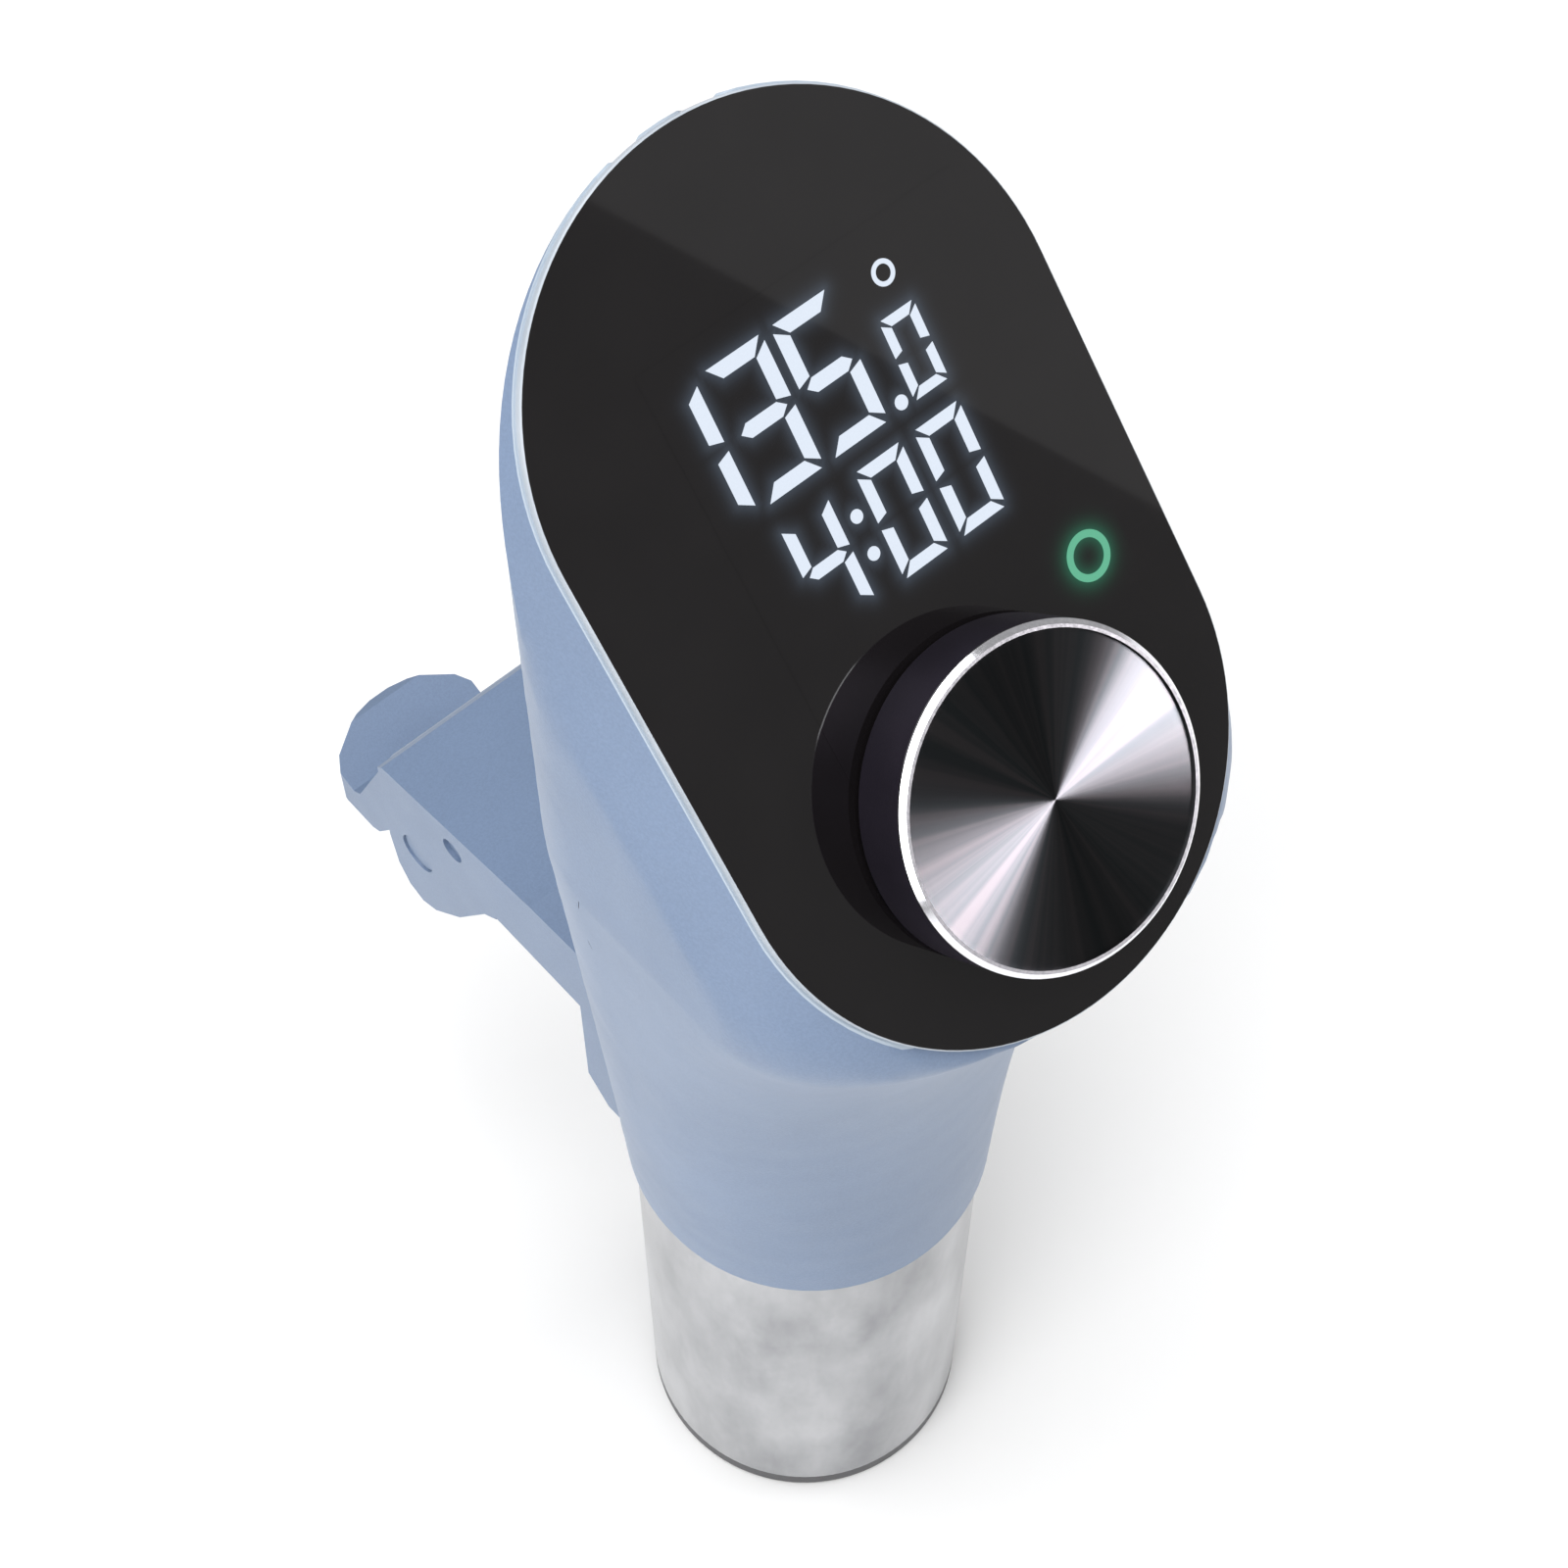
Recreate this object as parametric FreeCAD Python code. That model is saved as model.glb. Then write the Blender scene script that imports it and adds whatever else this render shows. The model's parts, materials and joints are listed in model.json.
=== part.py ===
import FreeCAD, Part
import math
import os
from FreeCAD import Placement, Rotation, Vector

# Sous vide circulator, in millimetres. +Z is up along the drive shaft, the front (knob side) is -Y,
# and the origin is the centre of the bottom cap's underside.

os.makedirs("parts", exist_ok=True)

X_AXIS = Vector(1, 0, 0)
Y_AXIS = Vector(0, 1, 0)
Z_AXIS = Vector(0, 0, 1)

# ---- driving dimensions -------------------------------------------------------------------------
# control face: a stadium, sloped back over the body
FACE_TILT = 48.0
FACE_Y = -13.85
FACE_Z = 252.5
GLASS_RADIUS = 34.0
GLASS_STRAIGHT = 22.3
GLASS_THICK = 1.2
GLASS_CHAMFER = 0.2
SEAT_LEDGE = 0.25
RIM = 4.4
FLARE_DEPTH = 12.4

# blue housing: round collar below, face outline above
COLLAR_RADIUS = 28.2
COLLAR_Z = 94.3
SHOULDER_Z = 210.7
CROWN_Z = 312.0
WALL = 2.3
WIDTH_POWER = 1.08
REAR_POWER = 1.3
FRONT_POWER = 3.07

# steel sleeve and bottom cap
SLEEVE_RADIUS = 27.2
SLEEVE_WALL = 0.7
SLEEVE_BOTTOM = 4.0
NECK_RADIUS = 25.4
NECK_TOP = 103.0
CAP_THICK = 4.0
CAP_LIP = 9.0

# bulkhead between the dry body and the wet sleeve
BULKHEAD_BOTTOM = 91.0
BULKHEAD_TOP = 106.0
BULKHEAD_FLANGE = 2.6
SEAL_RADIUS = 8.0

# drive train
SHAFT_RADIUS = 2.5
MOTOR_SHAFT_RADIUS = 2.0
RUNNING_GAP = 0.06
MOUNT_Z = 118.0
MOUNT_THICK = 2.0
MOTOR_RADIUS = 18.0
MOTOR_LENGTH = 38.0
MOTOR_WALL = 1.2
IMPELLER_Z = 10.0
IMPELLER_HEIGHT = 8.0
IMPELLER_RADIUS = 16.0
SPIDER_Z = 19.0
SPIDER_THICK = 2.4

# heater, probe and level rods, all on one pitch circle under the bulkhead
PITCH_RADIUS = 17.0
HEATER_TUBE = 3.2
HEATER_BEND_Z = 34.0
HEATER_SPREAD = 60.0
HEATER_ANGLES = (75.0, 195.0)
PROBE_ANGLE = 285.0
PROBE_RADIUS = 2.4
ROD_ANGLES = (315.0, 340.0)
ROD_RADIUS = 1.2

# knob and encoder, on the face
KNOB_V = -27.2
KNOB_RADIUS = 20.0
KNOB_HEIGHT = 10.0
KNOB_LIFT = 0.6
KNOB_RING = 1.0
KNOB_CAVITY = 17.4
ENCODER_SHAFT = 3.0
ENCODER_BUSH = 3.5

# display stack, on the face
BOARD_THICK = 1.6
BOARD_DEPTH = 8.4
BEZEL_THICK = 2.6
FACE_SCREW = 1.0
MODULE_SIZE = (44.0, 42.0, 3.9)
MODULE_V = 14.5
TOUCH_X = 22.5
TOUCH_V = -10.5
GUIDE_OUTER = 3.1
GUIDE_INNER = 2.1

# power board, upright behind the motor
POWER_SIZE = (40.0, 1.6, 44.0)
POWER_Y = 11.3
POWER_Z = 166.0
STANDOFF_RADIUS = 3.0
SCREW_RADIUS = 1.4

# pot clip at the rear
CLIP_HALF = 22.0
PAD_HALF = 15.0
PAD_FACE_Y = 33.5
PAD_SIDE_Y = 26.5
PAD_BOTTOM = 95.0
ARM_UNDER = 122.5
ARM_ROOT_TOP = 139.5
ARM_END_Y = 74.0
ARM_END_TOP = 134.0
EAR_THICK = 5.0
PIVOT_Y = 67.0
PIVOT_Z = 115.5
PIN_RADIUS = 2.0
DIMPLE_Y = 56.0
DIMPLE_Z = 130.5
HUB_RADIUS = 6.4
LEVER_HALF = 16.7
TONGUE_HALF = 10.0
TAB_HALF = 14.2
TAB_END_Y = 110.6
NOTCH_HALF = 5.0
JAW_Y = 46.0
JAW_BOTTOM = 80.5
JAW_TOP = 104.0
RUBBER = 2.0
SPRING_WIRE = 0.7
SPRING_COIL = 4.6

# cord inlet at the rear of the head
GLAND_Z = 262.0
GLAND_NECK = 6.0
GLAND_FLANGE = 9.0
GLAND_BORE = 3.5
GLAND_OUT = 9.0

COS_TILT = math.cos(math.radians(FACE_TILT))
SIN_TILT = math.sin(math.radians(FACE_TILT))


# ---- helpers ------------------------------------------------------------------------------------
def box(low, high):
    size = Vector(*high) - Vector(*low)
    return Part.makeBox(size.x, size.y, size.z, Vector(*low))


def rod(radius, bottom, top, x=0.0, y=0.0):
    return Part.makeCylinder(radius, top - bottom, Vector(x, y, bottom))


def ring(outer, inner, bottom, top, x=0.0, y=0.0):
    return rod(outer, bottom, top, x, y).cut(rod(inner, bottom - 1, top + 1, x, y))


def cross_rod(radius, x_from, x_to, y, z):
    return Part.makeCylinder(radius, x_to - x_from, Vector(x_from, y, z), X_AXIS)


def depth_rod(radius, y_from, y_to, x, z):
    return Part.makeCylinder(radius, y_to - y_from, Vector(x, y_from, z), Y_AXIS)


def polar(radius, degrees):
    angle = math.radians(degrees)
    return radius * math.cos(angle), radius * math.sin(angle)


def fuse(first, *others):
    joined = first
    for other in others:
        joined = joined.fuse(other)
    return joined.removeSplitter()


def side_profile(points, x_from, x_to):
    """Prism along X of an outline given as (y, z) points."""
    corners = [Vector(x_from, y, z) for y, z in points]
    face = Part.Face(Part.makePolygon(corners + corners[:1]))
    return face.extrude(Vector(x_to - x_from, 0, 0))


def on_face(shape):
    """Move a shape from face axes (x across, y up the slope, z out of the glass) to the object's."""
    moved = shape.copy()
    moved.Placement = Placement(Vector(0, FACE_Y, FACE_Z), Rotation(X_AXIS, FACE_TILT))
    return moved


def stadium(radius, straight, low, high, middle=0.0):
    """Upright stadium prism, long along Y, between two heights."""
    top, bottom = middle + straight, middle - straight
    right_top, left_top = Vector(radius, top, low), Vector(-radius, top, low)
    right_bottom, left_bottom = Vector(radius, bottom, low), Vector(-radius, bottom, low)
    edges = [
        Part.makeLine(right_bottom, right_top),
        Part.Arc(right_top, Vector(0, top + radius, low), left_top).toShape(),
        Part.makeLine(left_top, left_bottom),
        Part.Arc(left_bottom, Vector(0, bottom - radius, low), right_bottom).toShape(),
    ]
    return Part.Face(Part.Wire(edges)).extrude(Vector(0, 0, high - low))


def seat_y(way):
    """Front (-1) or rear (1) end of the glass where it lies on the housing."""
    return FACE_Y + SIN_TILT * GLASS_THICK + way * COS_TILT * (GLASS_STRAIGHT + GLASS_RADIUS + SEAT_LEDGE)


def body_section(z, inset):
    """Closed outline of the housing at one height: two half ellipses joined by short sides."""
    rise = min(max((z - COLLAR_Z) / (SHOULDER_Z - COLLAR_Z), 0.0), 1.0)
    head = GLASS_RADIUS + RIM
    collar_half = COLLAR_RADIUS + 0.4
    width = COLLAR_RADIUS + (head - COLLAR_RADIUS) * rise ** WIDTH_POWER
    front = -collar_half + (seat_y(-1) + collar_half) * rise ** FRONT_POWER
    rear = collar_half + (seat_y(1) - collar_half) * rise ** REAR_POWER
    end = COLLAR_RADIUS + (head * COS_TILT - COLLAR_RADIUS) * rise
    side = (rear - front) / 2 - end
    middle = (rear + front) / 2
    width -= inset
    end -= inset
    edges = [Part.makeLine(Vector(width, middle - side, z), Vector(width, middle + side, z))]
    edges.append(half_ellipse(width, end, middle + side, z, 1))
    edges.append(Part.makeLine(Vector(-width, middle + side, z), Vector(-width, middle - side, z)))
    edges.append(half_ellipse(width, end, middle - side, z, -1))
    return Part.Wire(edges)


def half_ellipse(width, end, y, z, way):
    """Half an ellipse from (way * width, y) round to (-way * width, y), bulging to way * Y."""
    if width >= end:
        curve = Part.Ellipse(Vector(0, y, z), width, end)
        start = 0.0 if way > 0 else math.pi
    else:
        major_end, minor_end = Vector(0, y + end, z), Vector(-width, y, z)
        curve = Part.Ellipse(major_end, minor_end, Vector(0, y, z))
        start = -math.pi / 2 if way > 0 else math.pi / 2
    return curve.toShape(start, start + math.pi)


def body_loft(inset, low):
    levels = [low]
    count = 7
    for step in range(1, count + 1):
        levels.append(COLLAR_Z + (SHOULDER_Z - COLLAR_Z) * step / count)
    lower = Part.makeLoft([body_section(z, inset) for z in levels], True, False)
    upper = Part.makeLoft([body_section(z, inset) for z in (SHOULDER_Z, CROWN_Z)], True, True)
    return lower.fuse(upper)


def slab_below(depth):
    """Everything below the plane that lies a given depth under the glass."""
    reach = 400.0
    return on_face(box((-reach, -reach, -2 * reach), (reach, reach, -depth)))


def stadium_wire(radius, top, bottom, level):
    outline = stadium(radius, (top - bottom) / 2, level, level + 1.0, (top + bottom) / 2)
    lowest = [face for face in outline.Faces if face.BoundBox.ZMax < level + 0.01]
    return lowest[0].OuterWire


def flare(inset):
    """Head outline that opens from the glass edge to the full width of the body below it."""
    seat = stadium_wire(GLASS_RADIUS + SEAT_LEDGE - inset, GLASS_STRAIGHT, -GLASS_STRAIGHT, -GLASS_THICK)
    full = stadium_wire(GLASS_RADIUS + RIM - inset, GLASS_STRAIGHT - RIM, -GLASS_STRAIGHT - 4 * RIM,
                        -GLASS_THICK - FLARE_DEPTH)
    opening = Part.makeLoft([seat, full], True, True)
    return on_face(opening).fuse(slab_below(GLASS_THICK + FLARE_DEPTH))


# ---- housing ------------------------------------------------------------------------------------
def main_housing():
    shell = body_loft(0.0, COLLAR_Z).common(flare(0.0))
    shell = shell.cut(body_loft(WALL, COLLAR_Z).common(flare(WALL)))
    shell = shell.cut(rod(COLLAR_RADIUS - WALL, COLLAR_Z - 1, COLLAR_Z + 1))
    shell = shell.cut(depth_rod(GLAND_NECK + 0.1, 15, 40, 0, GLAND_Z))
    for x, z in bracket_screw_places():
        shell = shell.cut(depth_rod(SCREW_RADIUS + 0.2, 15, 40, x, z))
    return shell


# ---- control face -------------------------------------------------------------------------------
def glass_panel():
    glass = stadium(GLASS_RADIUS, GLASS_STRAIGHT, -GLASS_THICK, 0.0)
    top_edges = [edge for edge in glass.Edges if edge.BoundBox.ZMin > -0.01]
    glass = glass.makeChamfer(GLASS_CHAMFER, top_edges)
    hole = rod(ENCODER_BUSH + 0.1, -5, 5, 0, KNOB_V)
    return on_face(glass.cut(hole))


def display_bezel():
    low = -GLASS_THICK - BEZEL_THICK
    frame = stadium(31.3, 19.4, low, -GLASS_THICK, -1.4)
    window = stadium(22.0, 18.0, low - 1, 0.0, -3.0)
    guide_hole = rod(GUIDE_OUTER + 0.3, low - 1, 0.0, TOUCH_X, TOUCH_V)
    return on_face(frame.cut(window).cut(guide_hole))


def display_module():
    width, height, thick = MODULE_SIZE
    block = box((-width / 2, MODULE_V - height / 2, -BOARD_DEPTH),
                (width / 2, MODULE_V + height / 2, -BOARD_DEPTH + thick))
    corners = [edge for edge in block.Edges if edge.BoundBox.ZLength > 1]
    return on_face(block.makeFillet(2.0, corners))


def display_board():
    board = stadium(28.0, 17.0, -BOARD_DEPTH - BOARD_THICK, -BOARD_DEPTH, -6.0)
    for x, v in face_screw_places():
        board = board.cut(rod(FACE_SCREW, -20, 0, x, v))
    return on_face(board)


def light_guide():
    return on_face(ring(GUIDE_OUTER, GUIDE_INNER, -BOARD_DEPTH, -GLASS_THICK, TOUCH_X, TOUCH_V))


def face_screw_places():
    return [(x, v) for x in (-24.6, 24.6) for v in (-20.0, 8.0)]


def board_posts():
    posts = []
    for x, v in face_screw_places():
        post = ring(2.2, FACE_SCREW, -BOARD_DEPTH, -GLASS_THICK - BEZEL_THICK, x, v)
        posts.append(on_face(post))
    return Part.makeCompound(posts)


def face_screws():
    under = -BOARD_DEPTH - BOARD_THICK
    screws = []
    for x, v in face_screw_places():
        shank = rod(FACE_SCREW - 0.05, under - 0.5, -GLASS_THICK - BEZEL_THICK - 0.4, x, v)
        head = rod(2.0, under - 1.4, under, x, v)
        screws.append(on_face(fuse(head, shank)))
    return Part.makeCompound(screws)


# ---- knob and encoder ---------------------------------------------------------------------------
def encoder_body():
    half = 6.4
    can = box((-half, KNOB_V - half, -BOARD_DEPTH), (half, KNOB_V + half, -GLASS_THICK - 0.4))
    bush = rod(ENCODER_BUSH, -GLASS_THICK - 0.5, 2.6, 0, KNOB_V)
    bore = rod(ENCODER_SHAFT + RUNNING_GAP, -GLASS_THICK - 3.0, 5, 0, KNOB_V)
    return on_face(fuse(can, bush).cut(bore))


def encoder_nut():
    nut = hexagon(5.4, 0.0, 2.0, 0, KNOB_V)
    return on_face(nut.cut(rod(ENCODER_BUSH + 0.02, -1, 4, 0, KNOB_V)))


def hexagon(radius, bottom, top, x=0.0, y=0.0):
    corners = [Vector(x, y, bottom) + Vector(*polar(radius, 60 * step), 0) for step in range(7)]
    return Part.Face(Part.makePolygon(corners)).extrude(Vector(0, 0, top - bottom))


def encoder_shaft():
    shaft = rod(ENCODER_SHAFT, -GLASS_THICK - 2.8, KNOB_HEIGHT - 2.0, 0, KNOB_V)
    flat = box((-5, KNOB_V + 1.6, 3.0), (5, KNOB_V + 6, KNOB_HEIGHT))
    return on_face(shaft.cut(flat))


def knob_body():
    seat = KNOB_HEIGHT - 0.9
    knob = rod(KNOB_RADIUS, KNOB_LIFT, seat, 0, KNOB_V)
    bottom_edge = [edge for edge in knob.Edges if edge.BoundBox.ZMax < KNOB_LIFT + 0.01]
    knob = knob.makeChamfer(0.5, bottom_edge)
    knob = knob.cut(rod(KNOB_CAVITY, KNOB_LIFT - 1, KNOB_HEIGHT - 2.6, 0, KNOB_V))
    hub = rod(6.0, 2.9, KNOB_HEIGHT - 2.0, 0, KNOB_V)
    knob = fuse(knob, hub)
    return on_face(knob.cut(cut_shaft_hole()))


def cut_shaft_hole():
    hole = rod(ENCODER_SHAFT, 0, KNOB_HEIGHT - 2.0, 0, KNOB_V)
    flat = box((-5, KNOB_V + 1.6, 3.0), (5, KNOB_V + 6, KNOB_HEIGHT))
    return hole.cut(flat)


def knob_ring():
    band = ring(KNOB_RADIUS, KNOB_RADIUS - KNOB_RING, KNOB_HEIGHT - 0.9, KNOB_HEIGHT, 0, KNOB_V)
    outer_top = [edge for edge in band.Edges
                 if edge.BoundBox.ZMin > KNOB_HEIGHT - 0.01 and edge.BoundBox.XMax > KNOB_RADIUS - 0.1]
    return on_face(band.makeChamfer(0.6, outer_top))


def knob_top():
    radius = KNOB_RADIUS - KNOB_RING
    return on_face(rod(radius, KNOB_HEIGHT - 0.9, KNOB_HEIGHT - 0.25, 0, KNOB_V))


# ---- power board --------------------------------------------------------------------------------
def power_corners():
    width, thick, height = POWER_SIZE
    for x in (-width / 2 + 4, width / 2 - 4):
        for z in (POWER_Z + 4, POWER_Z + height - 4):
            yield x, z


def power_board():
    width, thick, height = POWER_SIZE
    board = box((-width / 2, POWER_Y, POWER_Z), (width / 2, POWER_Y + thick, POWER_Z + height))
    for x, z in power_corners():
        board = board.cut(depth_rod(SCREW_RADIUS + 0.1, 0, 30, x, z))
    return board


def board_standoffs():
    back = POWER_Y + POWER_SIZE[1]
    posts = []
    for x, z in power_corners():
        post = depth_rod(STANDOFF_RADIUS, back, back + 3.4, x, z)
        posts.append(post.cut(depth_rod(SCREW_RADIUS, back - 1, back + 5, x, z)))
    return Part.makeCompound(posts)


def board_bracket():
    width, thick, height = POWER_SIZE
    back = POWER_Y + thick + 3.4
    plate = box((-width / 2, back, POWER_Z), (width / 2, back + 1.5, POWER_Z + height))
    window = box((-width / 2 + 9, back - 1, POWER_Z + 9),
                 (width / 2 - 9, back + 3, POWER_Z + height - 9))
    plate = plate.cut(window)
    for x, z in power_corners():
        plate = plate.cut(depth_rod(SCREW_RADIUS, back - 1, back + 3, x, z))
    return plate


def board_screws():
    screws = []
    for x, z in power_corners():
        head = depth_rod(2.6, POWER_Y - 1.6, POWER_Y, x, z)
        shank = depth_rod(SCREW_RADIUS - 0.05, POWER_Y - 0.5, POWER_Y + POWER_SIZE[1] + 4.2, x, z)
        screws.append(fuse(head, shank))
    return Part.makeCompound(screws)


def power_relay():
    case = box((-17, POWER_Y - 15, POWER_Z + 9), (-2, POWER_Y, POWER_Z + 28))
    return case.makeFillet(1.0, [edge for edge in case.Edges if edge.BoundBox.YLength > 5])


def filter_capacitor():
    can = depth_rod(6.0, POWER_Y - 17, POWER_Y, 8, POWER_Z + 17)
    front = [edge for edge in can.Edges if edge.BoundBox.YMax < POWER_Y - 16.9]
    return can.makeFillet(1.0, front)


def transformer():
    core = box((0.4, POWER_Y - 14, POWER_Z + 25.5), (13, POWER_Y, POWER_Z + 39))
    winding = depth_rod(5.4, POWER_Y - 16.5, POWER_Y - 13, 6.7, POWER_Z + 32.2)
    return fuse(core, winding)


def terminal_block():
    block = box((-12.8, POWER_Y - 9, POWER_Z + 31), (-0.8, POWER_Y, POWER_Z + 40))
    for x in (-10.0, -6.8, -3.6):
        block = block.cut(depth_rod(1.2, POWER_Y - 10, POWER_Y - 3, x, POWER_Z + 35.5))
    return block


# ---- motor and drive ----------------------------------------------------------------------------
def motor_mount():
    top = MOUNT_Z + MOUNT_THICK
    mount = rod(23.8, MOUNT_Z, top)
    for angle in (15, 135, 255):
        x, y = polar(20.5, angle)
        mount = fuse(mount, rod(2.4, BULKHEAD_TOP, MOUNT_Z + 0.5, x, y))
    mount = mount.cut(rod(8.0, MOUNT_Z - 1, top + 1))
    for x, y in motor_screw_places():
        mount = mount.cut(rod(SCREW_RADIUS + 0.1, MOUNT_Z - 1, top + 1, x, y))
    return mount


def motor_screw_places():
    return [polar(13.0, angle) for angle in (90, 210, 330)]


def motor_screws():
    screws = []
    for x, y in motor_screw_places():
        head = rod(2.6, MOUNT_Z - 1.8, MOUNT_Z, x, y)
        shank = rod(SCREW_RADIUS, MOUNT_Z - 0.5, MOUNT_Z + MOUNT_THICK + 3.0, x, y)
        screws.append(fuse(head, shank))
    return Part.makeCompound(screws)


def motor_end_bell():
    low = MOUNT_Z + MOUNT_THICK
    bell = rod(MOTOR_RADIUS, low, low + 3.4).cut(rod(5.0, low - 1, low + 5))
    for x, y in motor_screw_places():
        bell = bell.cut(rod(SCREW_RADIUS, low - 1, low + 3.0, x, y))
    return bell


def motor_can():
    low = MOUNT_Z + MOUNT_THICK + 3.4
    high = MOUNT_Z + MOUNT_THICK + MOTOR_LENGTH
    can = rod(MOTOR_RADIUS, low, high)
    rim = [edge for edge in can.Edges if edge.BoundBox.ZMin > high - 0.01]
    can = can.makeFillet(1.5, rim)
    can = can.cut(rod(MOTOR_RADIUS - MOTOR_WALL, low - 1, high - 3.4))
    return can.cut(rod(5.0, high - 4, high + 1))


def motor_stator():
    low = MOUNT_Z + MOUNT_THICK + 6.0
    stack = ring(MOTOR_RADIUS - MOTOR_WALL, 10.4, low, low + 25.0)
    for step in range(6):
        x, y = polar(13.4, 60 * step)
        stack = stack.cut(rod(1.7, low - 1, low + 26, x, y))
    return stack


def motor_rotor():
    low = MOUNT_Z + MOUNT_THICK + 6.5
    return ring(9.9, MOTOR_SHAFT_RADIUS, low, low + 24.0)


def motor_bearings():
    low = MOUNT_Z + MOUNT_THICK
    high = low + MOTOR_LENGTH
    inner = MOTOR_SHAFT_RADIUS + RUNNING_GAP
    return Part.makeCompound([ring(5.0, inner, low, low + 3.4), ring(5.0, inner, high - 3.4, high)])


def motor_shaft():
    return rod(MOTOR_SHAFT_RADIUS, 113.0, MOUNT_Z + MOUNT_THICK + MOTOR_LENGTH + 2.0)


def shaft_coupler():
    coupler = rod(6.0, 109.0, 116.4)
    return coupler.cut(rod(SHAFT_RADIUS, 108, 113)).cut(rod(MOTOR_SHAFT_RADIUS, 112, 117))


def drive_shaft():
    return rod(SHAFT_RADIUS, 6.6, 113.0)


def impeller():
    top = IMPELLER_Z + IMPELLER_HEIGHT
    hub = rod(5.0, IMPELLER_Z, top)
    plate = rod(IMPELLER_RADIUS, top - 1.4, top)
    wheel = fuse(hub, plate)
    for step in range(6):
        blade = box((3.0, -0.7, IMPELLER_Z), (IMPELLER_RADIUS - 0.6, 0.7, top - 1.0))
        blade.rotate(Vector(5.0, 0, 0), Z_AXIS, 28)
        blade.rotate(Vector(0, 0, 0), Z_AXIS, 60 * step)
        wheel = wheel.fuse(blade)
    wheel = wheel.removeSplitter().common(rod(IMPELLER_RADIUS, IMPELLER_Z, top))
    return wheel.cut(rod(SHAFT_RADIUS, 0, 30))


def impeller_nut():
    nut = hexagon(4.6, IMPELLER_Z - 2.8, IMPELLER_Z)
    return nut.cut(rod(SHAFT_RADIUS, 0, 30))


# ---- bulkhead and wet parts ---------------------------------------------------------------------
def heater_legs():
    for middle in HEATER_ANGLES:
        for way in (-0.5, 0.5):
            yield polar(PITCH_RADIUS, middle + way * HEATER_SPREAD)


def bulkhead():
    flange = BULKHEAD_TOP - BULKHEAD_FLANGE
    plug = rod(NECK_RADIUS - SLEEVE_WALL - 0.1, BULKHEAD_BOTTOM, flange + 0.1)
    plug = fuse(plug, rod(NECK_RADIUS - 0.2, flange, BULKHEAD_TOP))
    plug = plug.cut(Part.makeTorus(23.4, 1.25, Vector(0, 0, 98.0)))
    groove = ring(30.0, 23.4, 96.75, 99.25)
    plug = plug.cut(groove)
    plug = plug.cut(rod(SEAL_RADIUS, BULKHEAD_BOTTOM - 1, BULKHEAD_TOP + 1))
    for x, y in heater_legs():
        plug = plug.cut(rod(HEATER_TUBE + 1.2, BULKHEAD_BOTTOM - 1, BULKHEAD_TOP + 1, x, y))
    probe_x, probe_y = polar(PITCH_RADIUS, PROBE_ANGLE)
    plug = plug.cut(rod(PROBE_RADIUS, BULKHEAD_BOTTOM - 1, BULKHEAD_TOP + 1, probe_x, probe_y))
    for angle in ROD_ANGLES:
        x, y = polar(PITCH_RADIUS, angle)
        plug = plug.cut(rod(ROD_RADIUS, BULKHEAD_BOTTOM - 1, BULKHEAD_TOP + 1, x, y))
    return plug


def bulkhead_seal():
    return Part.makeTorus(23.45, 1.22, Vector(0, 0, 98.0))


def shaft_seal():
    return ring(SEAL_RADIUS, SHAFT_RADIUS + RUNNING_GAP, BULKHEAD_BOTTOM, BULKHEAD_TOP - 2.0)


def heater_element():
    hairpins = []
    for middle in HEATER_ANGLES:
        ends = [polar(PITCH_RADIUS, middle + way * HEATER_SPREAD) for way in (-0.5, 0.5)]
        first, second = Vector(*ends[0], HEATER_BEND_Z), Vector(*ends[1], HEATER_BEND_Z)
        centre = (first + second) * 0.5
        bend_radius = first.distanceToPoint(centre)
        lowest = centre - Vector(0, 0, bend_radius)
        top = BULKHEAD_TOP + 3.0
        path = Part.Wire([
            Part.makeLine(Vector(first.x, first.y, top), first),
            Part.Arc(first, lowest, second).toShape(),
            Part.makeLine(second, Vector(second.x, second.y, top)),
        ])
        circle = Part.Wire(Part.makeCircle(HEATER_TUBE, Vector(first.x, first.y, top), Z_AXIS))
        hairpins.append(path.makePipeShell([circle], True, True))
    return Part.makeCompound(hairpins)


def heater_ferrules():
    sleeves = []
    for x, y in heater_legs():
        sleeves.append(ring(HEATER_TUBE + 1.2, HEATER_TUBE, BULKHEAD_BOTTOM, BULKHEAD_TOP + 1.0, x, y))
    return Part.makeCompound(sleeves)


def temperature_probe():
    x, y = polar(PITCH_RADIUS, PROBE_ANGLE)
    probe = rod(PROBE_RADIUS, 38.0, BULKHEAD_TOP + 2.0, x, y)
    tip = [edge for edge in probe.Edges if edge.BoundBox.ZMax < 38.01]
    return probe.makeFillet(PROBE_RADIUS - 0.4, tip)


def water_level_rods():
    rods = []
    for angle in ROD_ANGLES:
        x, y = polar(PITCH_RADIUS, angle)
        rods.append(rod(ROD_RADIUS, 62.0, BULKHEAD_TOP + 2.0, x, y))
    return Part.makeCompound(rods)


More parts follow.
